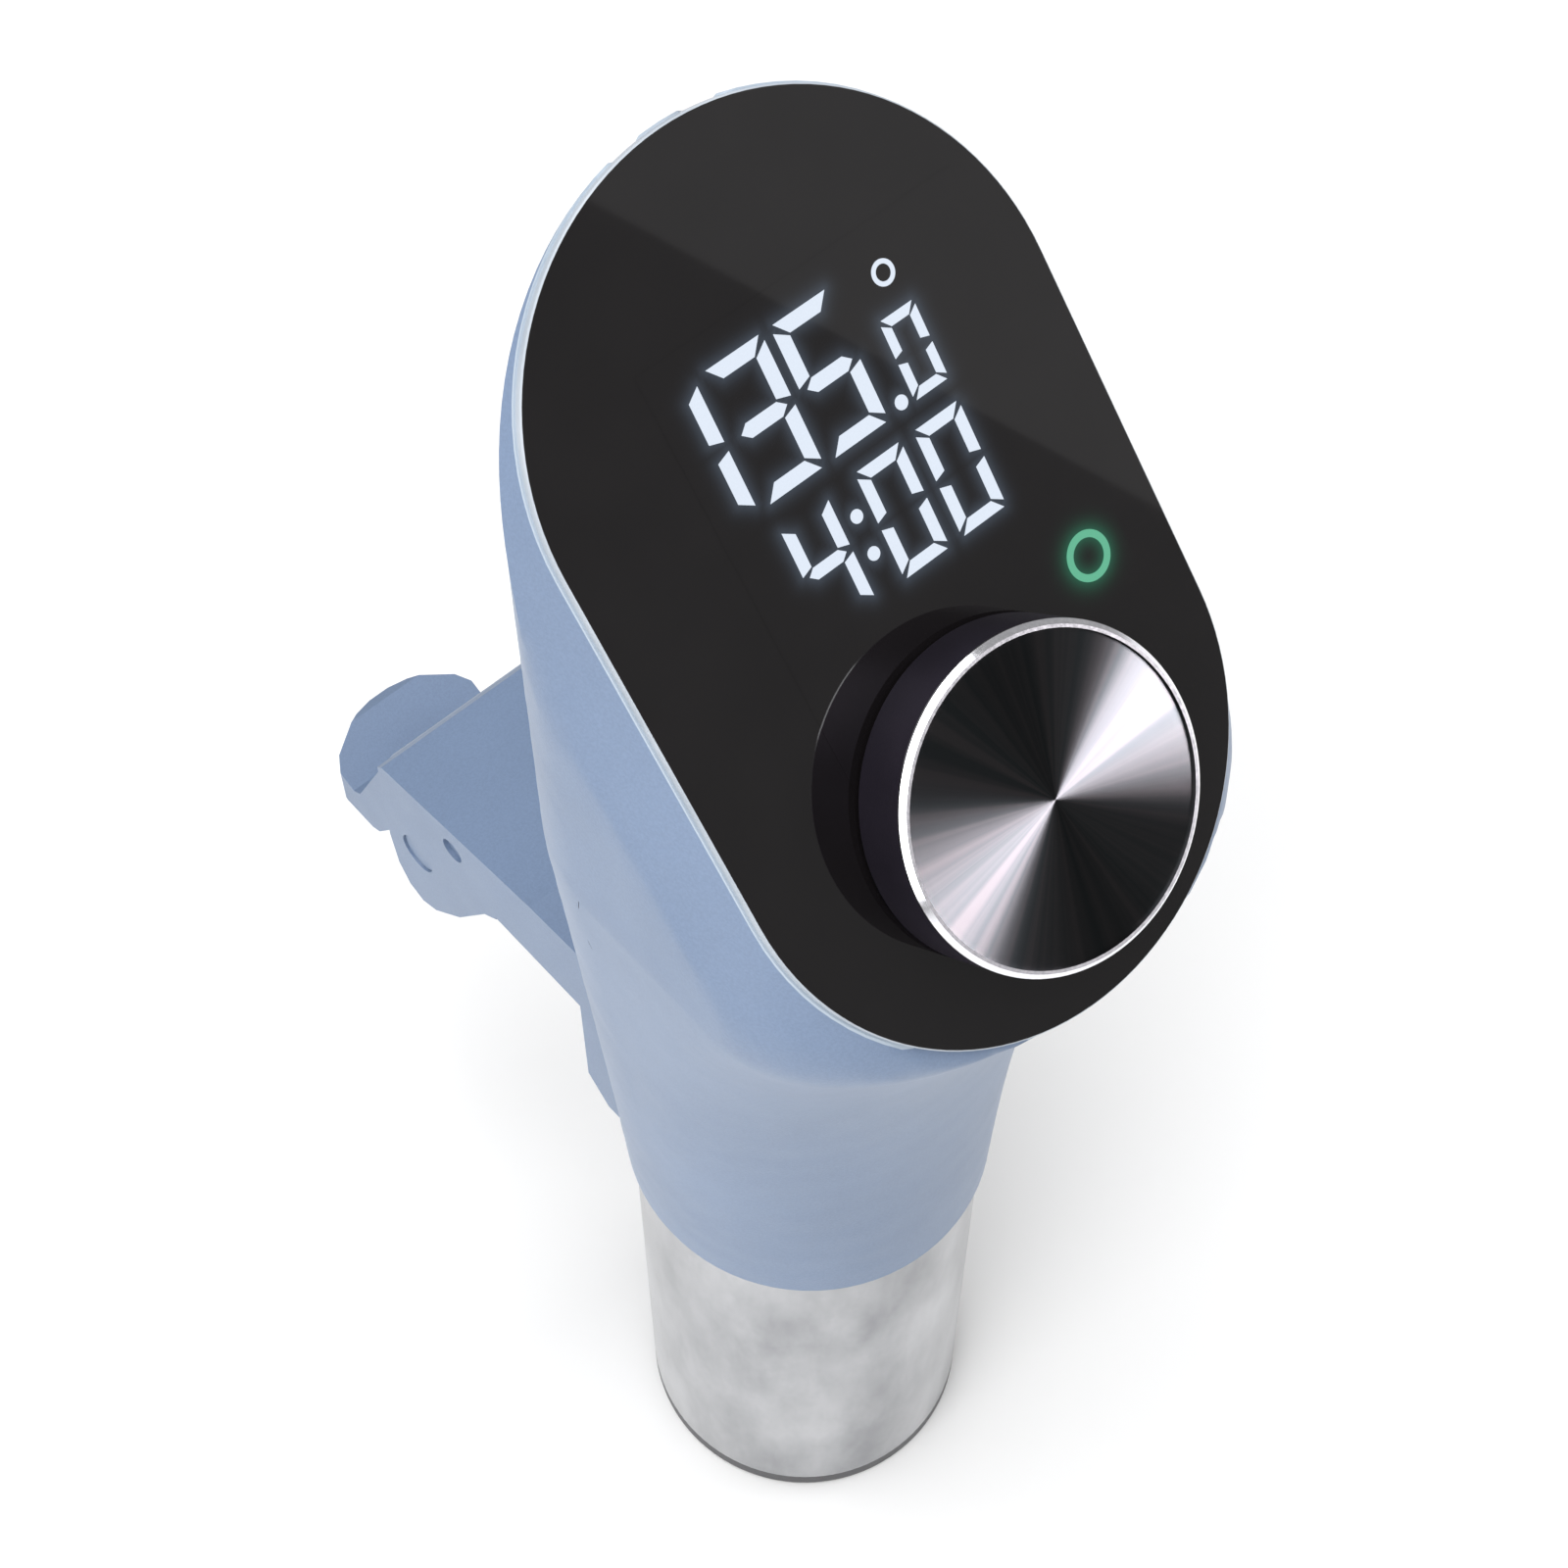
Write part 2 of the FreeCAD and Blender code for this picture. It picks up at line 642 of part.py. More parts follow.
def steel_sleeve():
    wall = SLEEVE_WALL
    shoulder = COLLAR_Z - 0.3
    outer = [(SLEEVE_RADIUS, SLEEVE_BOTTOM), (SLEEVE_RADIUS, shoulder - 1.2),
             (SLEEVE_RADIUS - 1.2, shoulder), (NECK_RADIUS, shoulder), (NECK_RADIUS, NECK_TOP)]
    inner = [(NECK_RADIUS - wall, NECK_TOP), (NECK_RADIUS - wall, shoulder - wall),
             (SLEEVE_RADIUS - 1.2 - wall / 2, shoulder - wall),
             (SLEEVE_RADIUS - wall, shoulder - 1.2 - wall / 2), (SLEEVE_RADIUS - wall, SLEEVE_BOTTOM)]
    corners = [Vector(radius, 0, z) for radius, z in outer + inner]
    sleeve = Part.Face(Part.makePolygon(corners + corners[:1])).revolve(Vector(0, 0, 0), Z_AXIS, 360)
    for angle in (54, 66, 78, 90, 102, 114, 126):
        sleeve = sleeve.cut(water_slot(angle, 26.0, 62.0))
    return sleeve


def water_slot(angle, low, high):
    slot = box((20, -1.3, low), (35, 1.3, high))
    ends = [edge for edge in slot.Edges if edge.BoundBox.XLength > 5]
    slot = slot.makeFillet(1.25, ends)
    slot.rotate(Vector(0, 0, 0), Z_AXIS, angle)
    return slot


def bearing_spider():
    top = SPIDER_Z + SPIDER_THICK
    outer = SLEEVE_RADIUS - SLEEVE_WALL
    spider = ring(outer, outer - 2.0, SPIDER_Z, top)
    spider = spider.fuse(rod(5.2, SPIDER_Z, top))
    for angle in (15, 135, 255):
        arm = box((4, -1.5, SPIDER_Z), (outer - 1, 1.5, top))
        arm.rotate(Vector(0, 0, 0), Z_AXIS, angle)
        spider = spider.fuse(arm)
    return spider.removeSplitter().cut(rod(SHAFT_RADIUS + RUNNING_GAP, 0, 40))


def bottom_cap():
    cap = rod(SLEEVE_RADIUS, 0.0, CAP_THICK)
    lower_edge = [edge for edge in cap.Edges if edge.BoundBox.ZMax < 0.01]
    cap = cap.makeFillet(1.2, lower_edge)
    outer = SLEEVE_RADIUS - SLEEVE_WALL
    cap = fuse(cap, ring(outer, outer - 2.0, CAP_THICK - 0.5, CAP_LIP))
    for step in range(12):
        slot = box((8.0, -1.4, -1), (21.0, 1.4, CAP_THICK + 1))
        upright = [edge for edge in slot.Edges if edge.BoundBox.ZLength > 3]
        slot = slot.makeFillet(1.35, upright)
        slot.rotate(Vector(0, 0, 0), Z_AXIS, 30 * step)
        cap = cap.cut(slot)
    return cap


# ---- pot clip -----------------------------------------------------------------------------------
def bracket_screw_places():
    return [(x, z) for x in (-8.0, 8.0) for z in (112.5, 131.0)]


def clip_bracket():
    arm = [(20, ARM_UNDER), (ARM_END_Y - 1.5, ARM_UNDER), (ARM_END_Y, ARM_UNDER + 1.5),
           (ARM_END_Y, ARM_END_TOP - 1.2), (ARM_END_Y - 1.2, ARM_END_TOP), (PAD_FACE_Y + 3, ARM_ROOT_TOP - 0.3),
           (20, ARM_ROOT_TOP + 0.8)]
    bracket = side_profile(arm, -CLIP_HALF, CLIP_HALF)
    bracket = bracket.fuse(pad_block())
    ear = [(46.5, ARM_UNDER + 1), (46.5, 122.0), (49.7, 119.4), (57.5, 107.8), (64.6, 100.6), (68.2, 99.0),
           (71.4, 100.4), (73.6, 104.5), (74.6, 112.0), (74.4, 120.0), (ARM_END_Y, ARM_UNDER + 2)]
    for side in (-1, 1):
        start = CLIP_HALF * side
        bracket = bracket.fuse(side_profile(ear, start, start - side * EAR_THICK))
    bracket = bracket.removeSplitter()
    bracket = bracket.cut(body_loft(-0.05, COLLAR_Z - 5))
    bracket = bracket.cut(cross_rod(PIN_RADIUS, -40, 40, PIVOT_Y, PIVOT_Z))
    for side in (-1, 1):
        recess = cross_rod(3.6, 0, 1.4, PIVOT_Y, PIVOT_Z)
        recess.translate(Vector(CLIP_HALF - 1.4 if side > 0 else -CLIP_HALF, 0, 0))
        dimple = cross_rod(2.2, 0, 0.8, DIMPLE_Y, DIMPLE_Z)
        dimple.translate(Vector(CLIP_HALF - 0.8 if side > 0 else -CLIP_HALF, 0, 0))
        bracket = bracket.cut(recess).cut(dimple)
    for x, z in bracket_screw_places():
        bracket = bracket.cut(depth_rod(SCREW_RADIUS, 15, 31.7, x, z))
    return bracket


def pad_outline(half, face_y, side_y, z):
    corners = [Vector(x, y, z) for x, y in (
        (-CLIP_HALF, 15), (-CLIP_HALF, side_y), (-half, face_y), (half, face_y), (CLIP_HALF, side_y),
        (CLIP_HALF, 15))]
    return Part.makePolygon(corners + corners[:1])


def pad_block():
    """Rear pad of the clip: it follows the round body, and its lower edge slopes in to the collar."""
    full = pad_outline(PAD_HALF, PAD_FACE_Y, PAD_SIDE_Y, PAD_BOTTOM + 5.0)
    foot = pad_outline(PAD_HALF - 2.0, PAD_FACE_Y - 4.9, PAD_SIDE_Y - 4.5, PAD_BOTTOM)
    upper = Part.Face(full).extrude(Vector(0, 0, ARM_UNDER + 1 - PAD_BOTTOM - 5.0))
    return upper.fuse(Part.makeLoft([foot, full], True, True))


def hinge_pin():
    pin = cross_rod(PIN_RADIUS, -CLIP_HALF + 1.4, CLIP_HALF - 1.4, PIVOT_Y, PIVOT_Z)
    for side in (-1, 1):
        head = cross_rod(3.4, 0, 1.0, PIVOT_Y, PIVOT_Z)
        head.translate(Vector(CLIP_HALF - 1.4 if side > 0 else -CLIP_HALF + 0.4, 0, 0))
        pin = pin.fuse(head)
    return pin.removeSplitter()


def clip_lever():
    hub = cross_rod(HUB_RADIUS, -LEVER_HALF, LEVER_HALF, PIVOT_Y, PIVOT_Z)
    tongue = [(PIVOT_Y - 3.0, PIVOT_Z + 5.6), (JAW_Y + 3, JAW_TOP + 3.5), (JAW_Y, JAW_TOP), (JAW_Y, JAW_BOTTOM + 1),
              (JAW_Y + 1, JAW_BOTTOM), (JAW_Y + 5, JAW_BOTTOM), (JAW_Y + 6, JAW_BOTTOM + 2),
              (JAW_Y + 7, JAW_TOP - 7), (PIVOT_Y - 1, PIVOT_Z - 6.2), (PIVOT_Y + 2, PIVOT_Z)]
    lever = hub.fuse(side_profile(tongue, -TONGUE_HALF, TONGUE_HALF))
    web = [(PIVOT_Y, PIVOT_Z - 6.0), (80.5, 106.5), (80.5, 119.5), (PIVOT_Y + 4, PIVOT_Z + 4.9)]
    lever = lever.fuse(side_profile(web, -LEVER_HALF, LEVER_HALF))
    lever = lever.fuse(finger_tab())
    lever = lever.removeSplitter()
    lever = lever.cut(cross_rod(PIN_RADIUS + RUNNING_GAP, -40, 40, PIVOT_Y, PIVOT_Z))
    slot = box((-NOTCH_HALF, PIVOT_Y - 8.5, PIVOT_Z - 8.0), (NOTCH_HALF, PIVOT_Y + 8.5, PIVOT_Z + 8.0))
    return lever.cut(slot)


def finger_tab():
    """Lifting tab behind the arm: it drops from the hub and turns up a little at its end."""
    outline = [(77.6, 104.5), (81.0, 97.5), (93.5, 80.0), (95.5, 79.0), (102.5, 79.2), (106.5, 82.0),
               (TAB_END_Y, 84.0), (TAB_END_Y, 89.0), (108.5, 90.0), (99.5, 86.0), (97.5, 87.5),
               (83.5, 116.5), (81.0, 119.6), (77.6, 120.5)]
    block = side_profile(outline, -TAB_HALF, TAB_HALF)
    side = [(TAB_HALF, 70), (TAB_HALF, TAB_END_Y - 7.6), (TAB_HALF - 1.7, TAB_END_Y - 5.2),
            (5.5, TAB_END_Y - 1.0), (2.0, TAB_END_Y)]
    plan = [Vector(x, y, 60) for x, y in side + [(-x, y) for x, y in reversed(side)]]
    return block.common(Part.Face(Part.makePolygon(plan + plan[:1])).extrude(Vector(0, 0, 80)))


def jaw_pad():
    pad = box((-9, JAW_Y - RUBBER, JAW_BOTTOM + 2), (9, JAW_Y, JAW_TOP - 1))
    return pad.makeFillet(0.8, [edge for edge in pad.Edges if edge.BoundBox.YMax < JAW_Y - RUBBER + 0.01])


def body_pad():
    pad = box((-13, PAD_FACE_Y, PAD_BOTTOM + 7), (13, PAD_FACE_Y + RUBBER, ARM_UNDER - 3))
    outer = [edge for edge in pad.Edges if edge.BoundBox.YMin > PAD_FACE_Y + RUBBER - 0.01]
    return pad.makeFillet(0.8, outer)


def torsion_spring():
    pitch = 1.9
    turns = 4.0
    length = pitch * turns
    helix = Part.makeHelix(pitch, length, SPRING_COIL)
    wire = Part.Wire(helix.Edges)
    section = Part.Wire(Part.makeCircle(SPRING_WIRE, Vector(SPRING_COIL, 0, 0), Y_AXIS))
    coil = wire.makePipeShell([section], True, True)
    coil.rotate(Vector(0, 0, 0), Y_AXIS, 90)
    coil.translate(Vector(-length / 2, PIVOT_Y, PIVOT_Z))
    return coil


def bracket_screws():
    screws = []
    for x, z in bracket_screw_places():
        head = depth_rod(2.6, 21.2, 23.6, x, z)
        shank = depth_rod(SCREW_RADIUS - 0.05, 23.0, 31.2, x, z)
        screws.append(fuse(head, shank))
    return Part.makeCompound(screws)


# ---- cord inlet ---------------------------------------------------------------------------------
def cord_gland():
    wall = seat_y(1)
    neck = depth_rod(GLAND_NECK, wall - 8.0, wall + 0.5, 0, GLAND_Z)
    nose = Part.makeCone(GLAND_FLANGE, GLAND_NECK, GLAND_OUT, Vector(0, wall + 0.1, GLAND_Z), Y_AXIS)
    gland = fuse(neck, nose)
    return gland.cut(depth_rod(GLAND_BORE, wall - 10, wall + 20, 0, GLAND_Z))


def gland_nut():
    wall = seat_y(1)
    nut = hexagon(9.0, 0.0, 3.0)
    nut = nut.cut(rod(GLAND_NECK, -1, 5))
    nut.rotate(Vector(0, 0, 0), X_AXIS, 90)
    nut.translate(Vector(0, wall - WALL - 0.8, GLAND_Z))
    return nut


NODES = (
    main_housing, glass_panel, display_bezel, display_module, display_board, light_guide, board_posts,
    face_screws, encoder_body, encoder_nut, encoder_shaft, knob_body, knob_ring, knob_top, power_board,
    board_standoffs, board_bracket, board_screws, power_relay, filter_capacitor, transformer,
    terminal_block, motor_mount, motor_screws, motor_end_bell, motor_can, motor_stator, motor_rotor,
    motor_bearings, motor_shaft, shaft_coupler, drive_shaft, impeller, impeller_nut, bulkhead,
    bulkhead_seal, shaft_seal, heater_element, heater_ferrules, temperature_probe, water_level_rods,
    steel_sleeve, bearing_spider, bottom_cap, clip_bracket, hinge_pin, clip_lever, jaw_pad, body_pad,
    torsion_spring, bracket_screws, cord_gland, gland_nut,
)

for build_node in NODES:
    solid = build_node()
    print(build_node.__name__, solid.isValid(), len(solid.Solids), round(solid.Volume, 1))
    solid.exportStep("parts/" + build_node.__name__ + ".step")
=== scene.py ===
import json
import math

import bmesh
import bpy
from mathutils import Matrix, Vector


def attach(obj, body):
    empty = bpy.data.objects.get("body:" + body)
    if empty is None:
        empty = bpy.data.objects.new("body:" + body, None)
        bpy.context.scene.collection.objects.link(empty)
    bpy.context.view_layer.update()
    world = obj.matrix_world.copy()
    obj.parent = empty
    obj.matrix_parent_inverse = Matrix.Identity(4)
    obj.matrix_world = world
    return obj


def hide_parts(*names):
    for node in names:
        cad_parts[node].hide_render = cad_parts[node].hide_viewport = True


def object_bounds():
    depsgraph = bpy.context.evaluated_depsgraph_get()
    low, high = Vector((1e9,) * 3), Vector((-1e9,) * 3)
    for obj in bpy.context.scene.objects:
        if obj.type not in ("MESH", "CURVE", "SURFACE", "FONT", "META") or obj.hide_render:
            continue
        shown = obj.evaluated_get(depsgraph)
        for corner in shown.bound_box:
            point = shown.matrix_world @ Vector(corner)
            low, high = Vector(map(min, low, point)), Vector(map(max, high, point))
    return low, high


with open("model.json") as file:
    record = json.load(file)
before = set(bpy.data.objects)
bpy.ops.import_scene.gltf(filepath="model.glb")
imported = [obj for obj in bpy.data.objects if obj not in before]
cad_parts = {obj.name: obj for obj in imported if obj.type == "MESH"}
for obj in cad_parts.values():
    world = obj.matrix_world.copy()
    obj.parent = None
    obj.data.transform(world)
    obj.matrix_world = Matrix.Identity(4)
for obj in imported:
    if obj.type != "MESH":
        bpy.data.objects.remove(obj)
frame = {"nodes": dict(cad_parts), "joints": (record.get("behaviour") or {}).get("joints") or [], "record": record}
CAD_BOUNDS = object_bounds()

MM = 0.001

# ---- the control face: its own axes, in the object's frame --------------------------------------
FACE_TILT = math.radians(48.0)
FACE_CENTRE = Vector((0.0, -13.85, 252.5)) * MM
FACE_UP = Vector((0.0, math.cos(FACE_TILT), math.sin(FACE_TILT)))
FACE_OUT = Vector((0.0, -math.sin(FACE_TILT), math.cos(FACE_TILT)))
FACE_ACROSS = Vector((1.0, 0.0, 0.0))

KNOB_CENTRE = Vector(frame["joints"][0]["pos_m"])
TOUCH_PLACE = (22.5, -10.5)


def face_point(across, up, out):
    """A point given in millimetres along the control face's own axes."""
    return FACE_CENTRE + (FACE_ACROSS * across + FACE_UP * up + FACE_OUT * out) * MM


# ---- camera, floor and lights -------------------------------------------------------------------
CAMERA_PLACE = Vector((-0.13516, -0.14672, 0.51945))
CAMERA_AZIMUTH = math.radians(-41.59)
CAMERA_ELEVATION = math.radians(58.48)
CAMERA_LENS = 68.7


def add_camera():
    sine, cosine = math.sin(CAMERA_AZIMUTH), math.cos(CAMERA_AZIMUTH)
    level, rise = math.cos(CAMERA_ELEVATION), math.sin(CAMERA_ELEVATION)
    back = Vector((sine * level, -cosine * level, rise))
    right = Vector((cosine, sine, 0.0))
    up = back.cross(right)
    data = bpy.data.cameras.new("camera")
    data.lens = CAMERA_LENS
    data.sensor_width = 36.0
    data.clip_start = 0.01
    camera = bpy.data.objects.new("camera", data)
    turn = Matrix((right, up, back)).transposed().to_4x4()
    camera.matrix_world = Matrix.Translation(CAMERA_PLACE) @ turn
    bpy.context.scene.collection.objects.link(camera)
    bpy.context.scene.camera = camera


def facing(place, target):
    """Placement of a lamp that stands at one point and shines at another."""
    aim = (Vector(target) - Vector(place)).to_track_quat("-Z", "Y").to_matrix().to_4x4()
    return Matrix.Translation(place) @ aim


def add_softbox(name, placement, width, height, power, colour=(1.0, 1.0, 1.0), only=()):
    data = bpy.data.lights.new(name, "AREA")
    data.shape = "RECTANGLE"
    data.size = width
    data.size_y = height
    data.energy = power
    data.color = colour
    light = bpy.data.objects.new(name, data)
    light.matrix_world = placement
    bpy.context.scene.collection.objects.link(light)
    if only:
        lit = bpy.data.collections.new(name + "_lit")
        for piece in only:
            lit.objects.link(piece)
        light.light_linking.receiver_collection = lit


def knob_glint(turn, tilt, distance):
    """Lamp placement whose glint lies across the knob, at a turn from the face's X axis.

    The tilt says how far the glint's half-way direction leans off the knob's axis.
    """
    lean = FACE_ACROSS * math.cos(turn) + FACE_UP * math.sin(turn)
    half_way = (FACE_OUT + lean * math.tan(tilt)).normalized()
    to_camera = (CAMERA_PLACE - KNOB_CENTRE).normalized()
    to_lamp = half_way * (2 * half_way.dot(to_camera)) - to_camera
    return facing(KNOB_CENTRE + to_lamp * distance, KNOB_CENTRE)


def glass_reflection(first, second, reach, half_depth):
    """Lamp placement whose reflected edge runs between two points of the glass, lit to the upper right."""
    eye = CAMERA_PLACE - FACE_OUT * (2 * (CAMERA_PLACE - FACE_CENTRE).dot(FACE_OUT))
    start = eye + (face_point(*first, 0.0) - eye) * reach
    end = eye + (face_point(*second, 0.0) - eye) * reach
    along = (end - start).normalized()
    depth = (start + end) / 2 - eye
    depth = (depth - along * depth.dot(along)).normalized()
    side = depth.cross(along)
    inward = side if side.dot(FACE_UP) > 0 else -side
    centre = (start + end) / 2 + inward * half_depth
    return Matrix.Translation(centre) @ Matrix((along, side, depth)).transposed().to_4x4()


def add_stage():
    mesh = bpy.data.meshes.new("floor")
    reach = 4.0
    corners = [(-reach, -reach, 0), (reach, -reach, 0), (reach, reach, 0), (-reach, reach, 0)]
    mesh.from_pydata(corners, [], [(0, 1, 2, 3)])
    floor = bpy.data.objects.new("floor", mesh)
    bpy.context.scene.collection.objects.link(floor)
    floor.data.materials.append(floor_material())


# ---- material building blocks -------------------------------------------------------------------
class Shader:
    """One material's node tree, with short calls for the nodes used here."""

    def __init__(self, name):
        self.material = bpy.data.materials.new(name)
        self.material.use_nodes = True
        self.tree = self.material.node_tree
        self.tree.nodes.clear()
        self.output = self.tree.nodes.new("ShaderNodeOutputMaterial")
        self.surface = self.tree.nodes.new("ShaderNodeBsdfPrincipled")
        self.link(self.surface.outputs[0], self.output.inputs["Surface"])

    def node(self, kind, **settings):
        made = self.tree.nodes.new("ShaderNode" + kind)
        for key, value in settings.items():
            setattr(made, key, value)
        return made

    def link(self, source, socket):
        self.tree.links.new(source, socket)

    def put(self, socket, value):
        """A number, a colour or another node's output goes into a socket."""
        if isinstance(value, bpy.types.NodeSocket):
            self.link(value, socket)
        elif isinstance(value, (tuple, list, Vector)) and len(value) == 3 and len(socket.default_value) == 4:
            socket.default_value = (*value, 1.0)
        else:
            socket.default_value = value

    def set(self, **values):
        for key, value in values.items():
            self.put(self.surface.inputs[key.replace("_", " ")], value)

    def place(self):
        return self.node("TexCoord").outputs["Object"]

    def math(self, operation, first, second):
        made = self.node("Math", operation=operation)
        self.put(made.inputs[0], first)
        self.put(made.inputs[1], second)
        return made.outputs[0]

    def vector(self, operation, first, second=(0.0, 0.0, 0.0)):
        made = self.node("VectorMath", operation=operation)
        self.put(made.inputs[0], first)
        if operation == "SCALE":
            self.put(made.inputs["Scale"], second)
        elif operation not in ("NORMALIZE", "LENGTH"):
            self.put(made.inputs[1], second)
        wants_number = operation in ("DOT_PRODUCT", "LENGTH")
        return made.outputs["Value" if wants_number else "Vector"]

    def noise(self, scale, detail=4.0, rough=0.5, stretch=None):
        source = self.place()
        if stretch:
            source = self.vector("MULTIPLY", source, stretch)
        made = self.node("TexNoise")
        self.link(source, made.inputs["Vector"])
        made.inputs["Scale"].default_value = scale
        made.inputs["Detail"].default_value = detail
        made.inputs["Roughness"].default_value = rough
        return made.outputs["Fac"]

    def ramp(self, factor, *stops):
        made = self.node("ValToRGB")
        self.link(factor, made.inputs[0])
        elements = made.color_ramp.elements
        while len(elements) < len(stops):
            elements.new(0.5)
        for element, (position, colour) in zip(elements, stops):
            element.position = position
            element.color = (*colour, 1.0) if isinstance(colour, tuple) else (colour, colour, colour, 1.0)
        return made.outputs[0]

    def mix(self, factor, first, second):
        made = self.node("Mix", data_type="RGBA")
        self.put(made.inputs[0], factor)
        self.put(made.inputs[6], first)
        self.put(made.inputs[7], second)
        return made.outputs[2]

    def between(self, factor, low, high):
        made = self.node("MapRange")
        self.put(made.inputs["Value"], factor)
        made.inputs["To Min"].default_value = low
        made.inputs["To Max"].default_value = high
        return made.outputs[0]

    def bump(self, height, depth, strength=1.0):
        made = self.node("Bump")
        self.put(made.inputs["Height"], height)
        made.inputs["Distance"].default_value = depth
        made.inputs["Strength"].default_value = strength
        return made.outputs[0]


def tinted(colour, factor):
    return tuple(min(channel * factor, 1.0) for channel in colour)


def moulded(name, colour, rough, grain=1800.0, coat=0.0):
    """Moulded plastic: a faint mottle in its colour, fine spark-eroded grain, and slightly uneven gloss."""
    shader = Shader(name)
    cloud = shader.noise(38.0, 3.0)
    fine = shader.noise(grain, 3.0, 0.6)
    shader.set(Base_Color=shader.ramp(cloud, (0.3, tinted(colour, 0.94)), (0.7, tinted(colour, 1.06))))
    wear = shader.noise(220.0, 4.0)
    shader.set(Roughness=shader.between(wear, rough - 0.06, rough + 0.06))
    shader.set(Normal=shader.bump(fine, 0.00004), Coat_Weight=coat, Coat_Roughness=0.25)
    return shader.material


def metal(name, colour, rough, stretch=(1.0, 1.0, 1.0)):
    """Bare or plated metal with a drawn grain and small stains."""
    shader = Shader(name)
    lines = shader.noise(900.0, 5.0, 0.6, stretch=stretch)
    stains = shader.noise(60.0, 3.0)
    shader.set(Base_Color=shader.ramp(stains, (0.3, tinted(colour, 0.9)), (0.7, tinted(colour, 1.06))))
    shader.set(Metallic=1.0, Roughness=shader.between(lines, rough - 0.05, rough + 0.07))
    shader.set(Normal=shader.bump(lines, 0.00001))
    return shader.material


def height_on_face(shader):
    """Height above the glass, in metres, of the shaded point at rest."""
    from_centre = shader.vector("SUBTRACT", shader.place(), FACE_CENTRE)
    return shader.vector("DOT_PRODUCT", from_centre, FACE_OUT)


def from_knob_axis(shader):
    """Vector from the knob's axis to the shaded point, square to the axis."""
    arm = shader.vector("SUBTRACT", shader.place(), KNOB_CENTRE)
    along = shader.vector("DOT_PRODUCT", arm, FACE_OUT)
    return shader.vector("SUBTRACT", arm, shader.vector("SCALE", tuple(FACE_OUT), along))


def knob_angle(shader):
    arm = from_knob_axis(shader)
    across = shader.vector("DOT_PRODUCT", arm, FACE_ACROSS)
    up = shader.vector("DOT_PRODUCT", arm, FACE_UP)
    return shader.math("ARCTAN2", up, across)


# ---- materials ----------------------------------------------------------------------------------
def floor_material():
    shader = Shader("floor")
    cloud = shader.noise(3.0, 2.0)
    shader.set(Base_Color=shader.ramp(cloud, (0.2, 0.86), (0.8, 0.88)), Roughness=0.7)
    return shader.material


def soft_blue(name, colour, painted_lip_highlight=False):
    """Soft-touch stone-blue shell: satin bloom at grazing angles over a very fine grain.

    The rim that the glass sits on is painted a paler line, a painted highlight along the glass edge.
    """
    shader = Shader(name)
    cloud = shader.noise(24.0, 3.0)
    speck = shader.noise(2600.0, 2.0, 0.7)
    base = shader.ramp(cloud, (0.3, tinted(colour, 0.94)), (0.7, tinted(colour, 1.07)))
    fleck = shader.ramp(speck, (0.35, 0.93), (0.65, 1.05))
    mixed = shader.node("Mix", data_type="RGBA", blend_type="MULTIPLY")
    mixed.inputs[0].default_value = 1.0
    shader.link(base, mixed.inputs[6])
    shader.link(fleck, mixed.inputs[7])
    if painted_lip_highlight:
        # painted highlight: a paler blue band near the glass seat stands in for light caught along the rim's edge
        lip_highlight_zone = shader.math("GREATER_THAN", height_on_face(shader), -1.45 * MM)
        shader.set(Base_Color=shader.mix(lip_highlight_zone, mixed.outputs[2], (0.40, 0.47, 0.55)))
    else:
        shader.set(Base_Color=mixed.outputs[2])
    rub = shader.noise(150.0, 5.0)
    shader.set(Roughness=shader.between(rub, 0.42, 0.52), Normal=shader.bump(speck, 0.00003))
    shader.set(Sheen_Weight=0.12, Sheen_Roughness=0.35)
    shader.set(Coat_Weight=0.08, Coat_Roughness=0.35)
    return shader.material


def black_glass():
    """Printed black glass: deep gloss on top, and a ground chamfer coloured pale, partly its frosted grey and
    partly a painted highlight along the glass edge.
    """
    shader = Shader("black_glass")
    height = height_on_face(shader)
    ground = shader.math("LESS_THAN", height, -0.02 * MM)
    tone = shader.noise(90.0, 2.0)
    # the chamfer's frosted colour is raised into a painted highlight, standing in for a lamp's reflection along
    # the edge
    chamfer_frost_and_highlight = shader.ramp(tone, (0.3, (0.34, 0.38, 0.43)), (0.7, (0.42, 0.46, 0.51)))
    shader.set(Base_Color=shader.mix(ground, printed_black(shader), chamfer_frost_and_highlight))
    shader.set(Roughness=shader.math("MAXIMUM", polish(shader), shader.math("MULTIPLY", ground, 0.3)))
    shader.set(IOR=1.5)
    return shader.material


def printed_black(shader):
    """Black ink seen through the glass."""
    tone = shader.noise(90.0, 2.0)
    return shader.ramp(tone, (0.3, (0.0052, 0.0044, 0.0048)), (0.7, (0.0064, 0.0055, 0.0059)))


def polish(shader):
    """Roughness of the polished glass, with faint smears."""
    return shader.between(shader.noise(45.0, 6.0, 0.65), 0.015, 0.04)


def lit_window():
    """The glass over the display, with light that bleeds round the lit shapes."""
    shader = Shader("lit_window")
    white = shader.node("Attribute", attribute_name="white_glow").outputs["Fac"]
    green = shader.node("Attribute", attribute_name="green_glow").outputs["Fac"]
    bleed = shader.vector("ADD", shader.vector("SCALE", (0.036, 0.049, 0.068), white),
                          shader.vector("SCALE", (0.010, 0.110, 0.060), green))
    shader.set(Base_Color=printed_black(shader), Roughness=polish(shader), IOR=1.5)
    shader.set(Emission_Color=bleed, Emission_Strength=1.0)
    return shader.material


